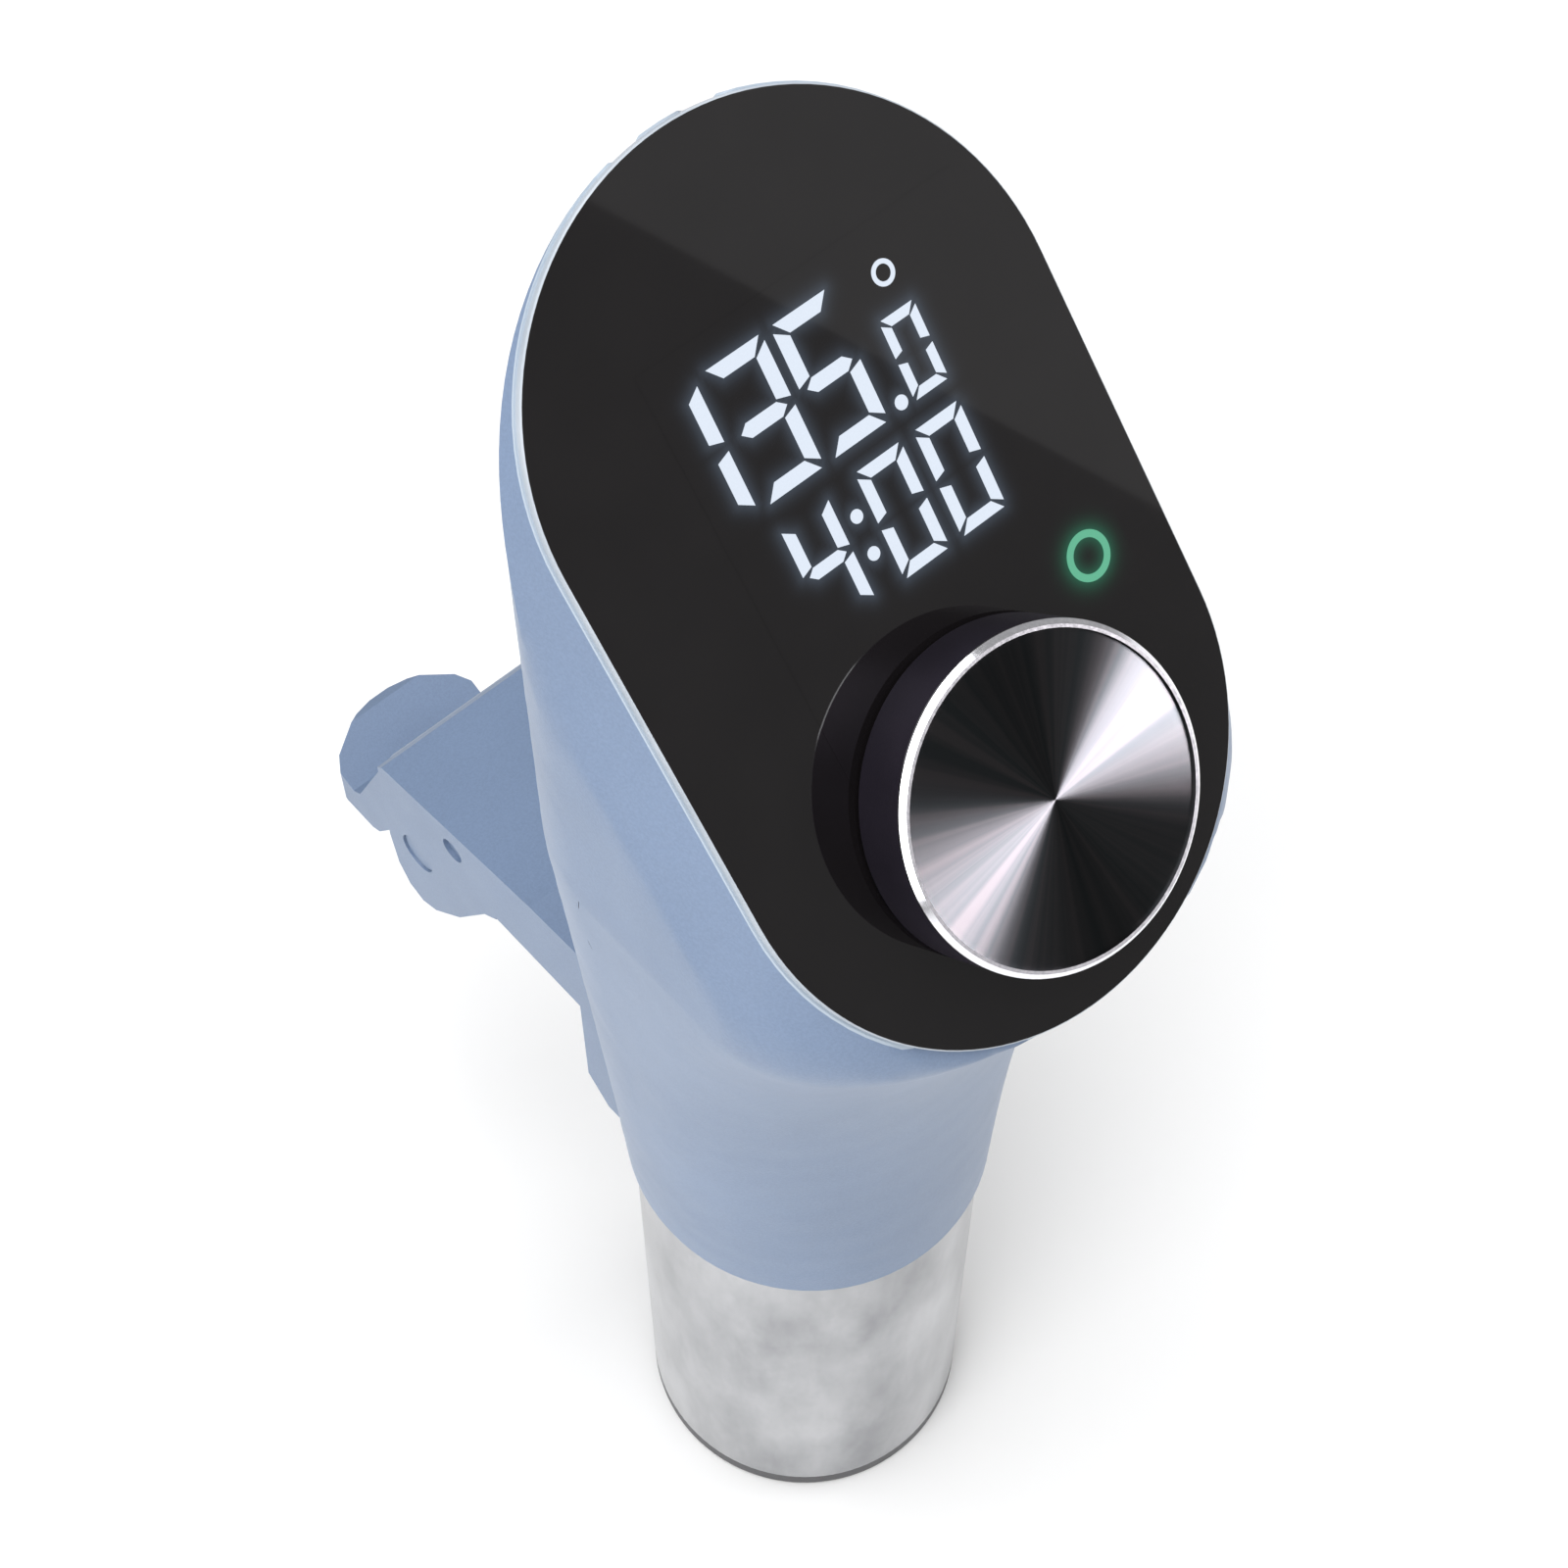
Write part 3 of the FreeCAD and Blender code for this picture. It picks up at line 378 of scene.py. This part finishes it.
def spun_top():
    """Dark lathe-turned disc: turning grooves run round the axis, so light spreads out from the centre. Faint
    radial streaks are painted into its colour as painted reflections.
    """
    shader = Shader("spun_dark")
    arm = from_knob_axis(shader)
    radius = shader.vector("LENGTH", arm)
    rings = shader.node("TexNoise", noise_dimensions="1D")
    shader.link(radius, rings.inputs["W"])
    rings.inputs["Scale"].default_value = 9000.0
    rings.inputs["Detail"].default_value = 3.0
    # painted reflection: faint light and dark radial streaks by knob angle, painted into the base colour
    painted_streak_fans = shader.node("TexNoise", noise_dimensions="1D")
    shader.link(knob_angle(shader), painted_streak_fans.inputs["W"])
    painted_streak_fans.inputs["Scale"].default_value = 6.5
    painted_streak_fans.inputs["Detail"].default_value = 4.0
    dark, light = (0.013, 0.015, 0.016), (0.023, 0.022, 0.023)
    shader.set(Base_Color=shader.ramp(painted_streak_fans.outputs[0], (0.35, dark), (0.68, light)))
    shader.set(Metallic=1.0, Roughness=shader.between(rings.outputs[0], 0.27, 0.31))
    shader.set(Anisotropic=1.0, Tangent=shader.vector("NORMALIZE", arm))
    shader.set(Normal=shader.bump(rings.outputs[0], 0.000004, 0.5))
    return shader.material


def dark_anodised():
    """Dark anodised knob side with fine bead-blasted grain and a faint violet cast."""
    shader = Shader("dark_anodised")
    grain = shader.noise(3200.0, 3.0, 0.7)
    cloud = shader.noise(70.0, 2.0)
    shader.set(Base_Color=shader.ramp(cloud, (0.3, (0.040, 0.034, 0.052)), (0.7, (0.062, 0.052, 0.078))))
    shader.set(Metallic=0.85, Roughness=shader.between(grain, 0.28, 0.42))
    shader.set(Normal=shader.bump(grain, 0.00002))
    return shader.material


def bright_cut():
    """Diamond-cut trim ring: mirror bright with the faint lines of the cutter."""
    shader = Shader("bright_cut")
    lines = shader.noise(2400.0, 3.0)
    shader.set(Base_Color=shader.ramp(lines, (0.3, (0.80, 0.80, 0.84)), (0.7, (0.93, 0.93, 0.97))))
    shader.set(Metallic=1.0, Roughness=shader.between(lines, 0.10, 0.18))
    shader.set(Normal=shader.bump(lines, 0.000003))
    return shader.material


def brushed_sleeve():
    """Stainless tube, brushed round its girth, with tall light and dark patches painted in as reflections."""
    shader = Shader("brushed_sleeve")
    lines = shader.noise(1.0, 5.0, 0.65, stretch=(60.0, 60.0, 5200.0))
    # painted reflection: vertically stretched light and dark patches in the base colour stand in for the steel's
    # reflected surroundings
    painted_reflection_patches = shader.noise(70.0, 5.0, 0.6, stretch=(1.0, 1.0, 0.4))
    shader.set(Base_Color=shader.ramp(painted_reflection_patches, (0.31, (0.25, 0.255, 0.27)), (0.69, (0.50, 0.505, 0.52))))
    shader.set(Metallic=1.0, Roughness=shader.between(lines, 0.16, 0.26))
    shader.set(Normal=shader.bump(lines, 0.000008))
    return shader.material


def circuit_board():
    """Green solder mask with routed tracks under it."""
    shader = Shader("circuit_board")
    cells = shader.node("TexVoronoi", feature="DISTANCE_TO_EDGE", distance="CHEBYCHEV")
    shader.link(shader.place(), cells.inputs["Vector"])
    cells.inputs["Scale"].default_value = 260.0
    track = shader.ramp(cells.outputs[0], (0.05, (0.05, 0.26, 0.13)), (0.12, (0.018, 0.11, 0.055)))
    shader.set(Base_Color=track, Roughness=shader.between(shader.noise(500.0), 0.3, 0.4))
    shader.set(Normal=shader.bump(cells.outputs[0], 0.00003), Coat_Weight=0.4, Coat_Roughness=0.1)
    return shader.material


def laminated():
    """Stacked electrical steel: thin sheets seen edge on."""
    shader = Shader("lamination")
    wave = shader.node("TexWave", bands_direction="Z")
    shader.link(shader.place(), wave.inputs["Vector"])
    wave.inputs["Scale"].default_value = 320.0
    wave.inputs["Distortion"].default_value = 0.4
    shader.set(Base_Color=shader.ramp(wave.outputs[1], (0.2, (0.12, 0.12, 0.13)), (0.8, (0.34, 0.34, 0.35))))
    shader.set(Metallic=1.0, Roughness=shader.between(shader.noise(700.0), 0.35, 0.5))
    shader.set(Normal=shader.bump(wave.outputs[1], 0.00003))
    return shader.material


def ribbed_rubber(name, colour):
    """Grip rubber with fine moulded ribs across it."""
    shader = Shader(name)
    wave = shader.node("TexWave", bands_direction="Z")
    shader.link(shader.place(), wave.inputs["Vector"])
    wave.inputs["Scale"].default_value = 95.0
    dust = shader.noise(400.0, 5.0)
    shader.set(Base_Color=shader.ramp(dust, (0.3, tinted(colour, 0.85)), (0.7, tinted(colour, 1.3))))
    shader.set(Roughness=shader.between(dust, 0.62, 0.8))
    shader.set(Normal=shader.bump(wave.outputs[1], 0.0003))
    return shader.material


def glowing(name, colour, strength):
    """Lit display ink: even light with a very faint dot structure."""
    shader = Shader(name)
    dots = shader.noise(5200.0, 1.0)
    lit = shader.ramp(dots, (0.3, tinted(colour, 0.97)), (0.7, colour))
    shader.set(Base_Color=(0.0, 0.0, 0.0), Roughness=0.4, Emission_Color=lit, Emission_Strength=strength)
    return shader.material


def all_materials():
    blue = (0.152, 0.214, 0.330)
    return {
        "blue_shell": soft_blue("blue_shell", blue, painted_lip_highlight=True),
        "blue_clip": soft_blue("blue_clip", tinted(blue, 0.93)),
        "black_glass": black_glass(),
        "black_plastic": moulded("black_plastic", (0.028, 0.028, 0.031), 0.45),
        "display": moulded("display", (0.045, 0.045, 0.05), 0.2),
        "circuit_board": circuit_board(),
        "clear_plastic": moulded("clear_plastic", (0.35, 0.75, 0.58), 0.15),
        "zinc_steel": metal("zinc_steel", (0.60, 0.61, 0.64), 0.3),
        "dark_anodised": dark_anodised(),
        "bright_cut": bright_cut(),
        "spun_dark": spun_top(),
        "component_plastic": moulded("component_plastic", (0.05, 0.14, 0.32), 0.3, coat=0.2),
        "can_aluminium": metal("can_aluminium", (0.72, 0.73, 0.75), 0.28, stretch=(1.0, 0.05, 1.0)),
        "lamination": laminated(),
        "stainless": metal("stainless", (0.66, 0.66, 0.67), 0.24, stretch=(1.0, 1.0, 0.05)),
        "brushed_sleeve": brushed_sleeve(),
        "wet_plastic": moulded("wet_plastic", (0.04, 0.04, 0.045), 0.42),
        "seal_rubber": moulded("seal_rubber", (0.02, 0.02, 0.022), 0.7, grain=900.0),
        "grip_rubber": ribbed_rubber("grip_rubber", (0.05, 0.056, 0.065)),
        "spring_steel": metal("spring_steel", (0.5, 0.5, 0.52), 0.3),
    }


def dress_nodes(materials):
    for part in frame["record"]["subparts"]:
        piece = frame["nodes"][part["node"]]
        piece.data.materials.clear()
        piece.data.materials.append(materials[part["material_slot"]])


# ---- softened shells ----------------------------------------------------------------------------
def softened(node, body, material, radius):
    """The CAD part's own shape with its long edges rounded over, as a moulded part has them."""
    source = frame["nodes"][node]
    mesh = source.data.copy()
    mesh.name = node + "_moulded"
    piece = bpy.data.objects.new(node + "_moulded", mesh)
    bpy.context.scene.collection.objects.link(piece)
    shape = bmesh.new()
    shape.from_mesh(mesh)
    bmesh.ops.remove_doubles(shape, verts=shape.verts, dist=0.002 * MM)
    bmesh.ops.dissolve_limit(shape, angle_limit=math.radians(1.0), verts=shape.verts, edges=shape.edges)
    shape.to_mesh(mesh)
    shape.free()
    bevel = piece.modifiers.new("rounded", "BEVEL")
    bevel.width = radius
    bevel.segments = 4
    bevel.limit_method = "ANGLE"
    bevel.angle_limit = math.radians(25.0)
    bevel.harden_normals = True
    depsgraph = bpy.context.evaluated_depsgraph_get()
    rounded = bpy.data.meshes.new_from_object(piece.evaluated_get(depsgraph))
    piece.modifiers.clear()
    piece.data = rounded
    rounded.name = node + "_moulded"
    rounded.materials.clear()
    rounded.materials.append(material)
    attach(piece, body)
    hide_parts(node)
    return piece


MERGE_REACH = 0.02 * MM
SLIVER_WIDTH = 0.08 * MM
CRISP_ANGLE = math.radians(38.0)
LONGEST_EDGE = 3.4 * MM
SHORTEST_EDGE = 0.7 * MM
CLOSEST_NEIGHBOUR = 0.2 * MM
SMOOTHING_ROUNDS = 18
SHRINK_SHARE = 0.5
SWELL_SHARE = -0.52


def is_sliver(face):
    """Whether a triangle is too thin for its normal to mean anything."""
    return 2 * face.calc_area() <= SLIVER_WIDTH * max(side.calc_length() for side in face.edges)


def mark_crisp_edges(shape):
    for edge in shape.edges:
        sides = [face for face in edge.link_faces if not is_sliver(face)]
        edge.smooth = len(sides) != 2 or sides[0].normal.angle(sides[1].normal) < CRISP_ANGLE


def split_long_edges(shape):
    for _ in range(7):
        long_edges = [edge for edge in shape.edges if edge.calc_length() > LONGEST_EDGE]
        if not long_edges:
            break
        bmesh.ops.subdivide_edges(shape, edges=long_edges, cuts=1)
        bmesh.ops.triangulate(shape, faces=[face for face in shape.faces if len(face.verts) > 3],
                              quad_method="SHORT_EDGE", ngon_method="BEAUTY")


def collapse_short_edges(shape, held):
    """Joins points that lie close together, in a few passes so that no pass joins a whole chain."""
    for _ in range(4):
        taken = set(held)
        short_edges = []
        for edge in shape.edges:
            if edge.calc_length() < SHORTEST_EDGE and not taken.intersection(edge.verts):
                short_edges.append(edge)
                taken.update(edge.verts)
        bmesh.ops.collapse(shape, edges=short_edges)


def neighbours_mean(vert):
    near = [edge.other_vert(vert) for edge in vert.link_edges]
    weights = [1.0 / max(edge.calc_length(), CLOSEST_NEIGHBOUR) for edge in vert.link_edges]
    return sum((other.co * weight for other, weight in zip(near, weights)), Vector()) / sum(weights)


def relax(loose):
    """Evens out the loose points without shrinking the shell, and keeps them in the CAD box."""
    for share in (SHRINK_SHARE, SWELL_SHARE) * SMOOTHING_ROUNDS:
        moved = [vert.co + (neighbours_mean(vert) - vert.co) * share for vert in loose]
        for vert, place in zip(loose, moved):
            vert.co = [min(max(value, least), most) for value, least, most in zip(place, *CAD_BOUNDS)]


def blended_shell(node, body, material):
    """The housing as moulded: the creases between its curved zones run into each other.

    Points on sharp edges are held. All others may move by a few tenths of a millimetre.
    """
    mesh = frame["nodes"][node].data.copy()
    mesh.name = node + "_moulded"
    piece = bpy.data.objects.new(node + "_moulded", mesh)
    bpy.context.scene.collection.objects.link(piece)
    shape = bmesh.new()
    shape.from_mesh(mesh)
    bmesh.ops.remove_doubles(shape, verts=shape.verts, dist=MERGE_REACH)
    bmesh.ops.dissolve_degenerate(shape, dist=MERGE_REACH, edges=shape.edges)
    bmesh.ops.triangulate(shape, faces=shape.faces)
    mark_crisp_edges(shape)
    split_long_edges(shape)
    held = {vert for edge in shape.edges if not edge.smooth for vert in edge.verts}
    collapse_short_edges(shape, held)
    relax([vert for vert in shape.verts if vert not in held])
    for face in shape.faces:
        face.smooth = True
    shape.to_mesh(mesh)
    shape.free()
    for layer in [layer for layer in mesh.attributes if "normal" in layer.name]:
        mesh.attributes.remove(layer)
    mesh.materials.clear()
    mesh.materials.append(material)
    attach(piece, body)
    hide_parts(node)
    return piece


# ---- display ------------------------------------------------------------------------------------
SEGMENTS = {"0": "abcdef", "1": "bc", "3": "abcdg", "4": "bcfg", "5": "acdfg"}
ITALIC = 0.03
INK_LIFT = 0.06
INK_THICK = 0.05
RING_STEPS = 72
TOUCH_OUTER = 3.0
TOUCH_INNER = 2.1
GLOW_CELL = 0.5
WHITE_SPREAD = 0.85
GREEN_SPREAD = 1.1


def segment_outlines(width, height, thick):
    """The seven segments of a digit as outlines, from the digit's lower left corner."""
    gap = thick * 0.14
    half = thick / 2
    middle = height / 2
    inset = thick + gap * 0.6

    def upright(inner, outer, low, high, low_cut, high_cut):
        return [(outer, low + low_cut * 0.35), (outer, high - high_cut * 0.35), (inner, high - high_cut),
                (inner, low + low_cut)]

    right, left = width, 0.0
    upper = [middle + gap, height - gap]
    lower = [gap, middle - gap]
    top = [(gap * 1.6, height), (width - gap * 1.6, height), (width - inset, height - thick),
           (inset, height - thick)]
    bottom = [(x, height - y) for x, y in reversed(top)]
    bar = [(gap + half * 0.7, middle), (inset, middle + half), (width - inset, middle + half),
           (width - gap - half * 0.7, middle), (width - inset, middle - half), (inset, middle - half)]
    return {
        "a": top,
        "b": upright(right - thick, right, *upper, half, thick),
        "c": upright(right - thick, right, *lower, thick, half),
        "d": bottom,
        "e": upright(left + thick, left, *lower, thick, half),
        "f": upright(left + thick, left, *upper, half, thick),
        "g": bar,
    }


def disc_outline(x, y, radius, count=28):
    angles = [2 * math.pi * step / count for step in range(count)]
    return [(x + radius * math.cos(angle), y + radius * math.sin(angle)) for angle in angles]


def digit_outlines(text, left, bottom, width, height, thick):
    shapes = segment_outlines(width, height, thick)
    for name in SEGMENTS[text]:
        yield [(left + x + ITALIC * y, bottom + y) for x, y in shapes[name]]


def display_outlines():
    """Everything lit in white, as outlines in millimetres on the glass."""
    lit = []
    for digit, left in (("1", -19.2), ("3", -9.85), ("5", -0.55)):
        lit += digit_outlines(digit, left, 16.4, 8.1, 16.0, 1.75)
    lit += digit_outlines("0", 11.45, 16.4, 5.0, 9.6, 1.15)
    for digit, left in (("4", -10.3), ("0", 0.6), ("0", 9.2)):
        lit += digit_outlines(digit, left, 0.4, 6.7, 13.3, 1.45)
    lit.append(disc_outline(9.9, 17.2, 0.85))
    lit.append(disc_outline(-1.1, 9.6, 0.8))
    lit.append(disc_outline(-1.3, 5.0, 0.8))
    return lit


def link_piece(name, mesh, material):
    piece = bpy.data.objects.new(name, mesh)
    bpy.context.scene.collection.objects.link(piece)
    mesh.materials.append(material)
    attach(piece, "housing")
    return piece


def inked(name, outlines, material):
    """Flat printed or lit shapes: thin slabs lying on the glass."""
    shape = bmesh.new()
    for outline in outlines:
        low = [shape.verts.new(face_point(x, y, INK_LIFT)) for x, y in outline]
        high = [shape.verts.new(face_point(x, y, INK_LIFT + INK_THICK)) for x, y in outline]
        shape.faces.new(high)
        shape.faces.new(list(reversed(low)))
        for step in range(len(outline)):
            after = (step + 1) % len(outline)
            shape.faces.new((low[step], low[after], high[after], high[step]))
    bmesh.ops.recalc_face_normals(shape, faces=shape.faces)
    mesh = bpy.data.meshes.new(name)
    shape.to_mesh(mesh)
    shape.free()
    return link_piece(name, mesh, material)


def annulus(name, place, outer, inner, material):
    shape = bmesh.new()
    rings = []
    top = INK_LIFT + INK_THICK
    for radius, out in ((outer, INK_LIFT), (outer, top), (inner, top), (inner, INK_LIFT)):
        points = disc_outline(*place, radius, RING_STEPS)
        rings.append([shape.verts.new(face_point(x, y, out)) for x, y in points])
    for first, second in zip(rings, rings[1:] + rings[:1]):
        for step in range(RING_STEPS):
            after = (step + 1) % RING_STEPS
            shape.faces.new((first[step], first[after], second[after], second[step]))
    bmesh.ops.recalc_face_normals(shape, faces=shape.faces)
    mesh = bpy.data.meshes.new(name)
    shape.to_mesh(mesh)
    shape.free()
    return link_piece(name, mesh, material)


def distance_to_outline(x, y, outline):
    """Millimetres from a point to a convex outline; nothing inside it."""
    nearest = 1e9
    inside = True
    for (x_from, y_from), (x_to, y_to) in zip(outline, outline[1:] + outline[:1]):
        run, rise = x_to - x_from, y_to - y_from
        share = ((x - x_from) * run + (y - y_from) * rise) / (run * run + rise * rise)
        share = min(max(share, 0.0), 1.0)
        nearest = min(nearest, math.hypot(x - x_from - share * run, y - y_from - share * rise))
        inside = inside and (x - x_from) * rise - (y - y_from) * run > 0
    return 0.0 if inside else nearest


def glow_sheet(name, outlines, material, low, high):
    """A film on the glass that knows, at each of its points, how near the lit shapes are."""
    columns = round((high[0] - low[0]) / GLOW_CELL)
    rows = round((high[1] - low[1]) / GLOW_CELL)
    places = [(low[0] + GLOW_CELL * column, low[1] + GLOW_CELL * row) for row in range(rows + 1)
              for column in range(columns + 1)]
    corners = [face_point(x, y, INK_LIFT / 2) for x, y in places]
    faces = [(first, first + 1, first + columns + 2, first + columns + 1)
             for row in range(rows) for first in range(row * (columns + 1), row * (columns + 1) + columns)]
    mesh = bpy.data.meshes.new(name)
    mesh.from_pydata(corners, [], faces)
    white = mesh.attributes.new("white_glow", "FLOAT", "POINT")
    green = mesh.attributes.new("green_glow", "FLOAT", "POINT")
    ring_radius = (TOUCH_OUTER + TOUCH_INNER) / 2
    for step, (x, y) in enumerate(places):
        away = min(distance_to_outline(x, y, outline) for outline in outlines)
        white.data[step].value = math.exp(-(away / WHITE_SPREAD) ** 1.3)
        from_ring = abs(math.hypot(x - TOUCH_PLACE[0], y - TOUCH_PLACE[1]) - ring_radius)
        green.data[step].value = math.exp(-(from_ring / GREEN_SPREAD) ** 1.4)
    return link_piece(name, mesh, material)


CLIP_ROUNDING = 1.2 * MM


def add_mouldings(materials):
    blended_shell("main_housing", "housing", materials["blue_shell"])
    softened("clip_bracket", "housing", materials["blue_clip"], CLIP_ROUNDING)
    softened("clip_lever", "lever", materials["blue_clip"], CLIP_ROUNDING)


def add_display():
    """The lit shapes, and the window over them, which it returns."""
    digit_light = glowing("digit_light", (0.80, 0.88, 1.0), 0.95)
    ring_light = glowing("ring_light", (0.13, 0.52, 0.32), 0.9)
    inked("display_digits", display_outlines(), digit_light)
    annulus("display_degree_mark", (14.9, 30.3), 1.5, 0.95, digit_light)
    annulus("touch_ring_light", TOUCH_PLACE, TOUCH_OUTER, TOUCH_INNER, ring_light)
    return glow_sheet("display_window", display_outlines(), lit_window(),
                      (-16.5, -17.0), (28.0, 36.0))


def add_lights(knob_pieces, glass_pieces):
    add_softbox("overhead", facing((-0.3, 0.1, 1.5), (0, 0, 0.2)), 1.4, 1.4, 22.0)
    add_softbox("left_panel", facing((-1.1, -0.3, 0.7), (0, 0, 0.2)), 0.9, 1.2, 9.0)
    add_softbox("right_panel", facing((1.0, -0.5, 0.5), (0, 0, 0.15)), 0.7, 1.0, 5.0)
    glint = knob_glint(math.radians(9.0), math.radians(18.1), 1.2)
    add_softbox("knob_glint", glint, 0.48, 0.48, 255.0, (1.0, 0.93, 0.98), only=knob_pieces)
    sheen = glass_reflection((-11.75, 54.1), (34.1, -12.0), 4.0, 0.8)
    add_softbox("glass_reflection", sheen, 3.0, 1.6, 4.8, only=glass_pieces)


def add_surroundings():
    world = bpy.data.worlds.new("studio")
    world.use_nodes = True
    background = world.node_tree.nodes["Background"]
    background.inputs["Color"].default_value = (1.0, 1.0, 1.0, 1.0)
    background.inputs["Strength"].default_value = 0.35
    bpy.context.scene.world = world


def main():
    view = bpy.context.scene.view_settings
    view.view_transform = "Standard"
    view.look = "None"
    materials = all_materials()
    dress_nodes(materials)
    add_camera()
    add_stage()
    add_mouldings(materials)
    window = add_display()
    nodes = frame["nodes"]
    add_lights([nodes["knob_top"], nodes["knob_ring"]], [nodes["glass_panel"], window])
    add_surroundings()


main()
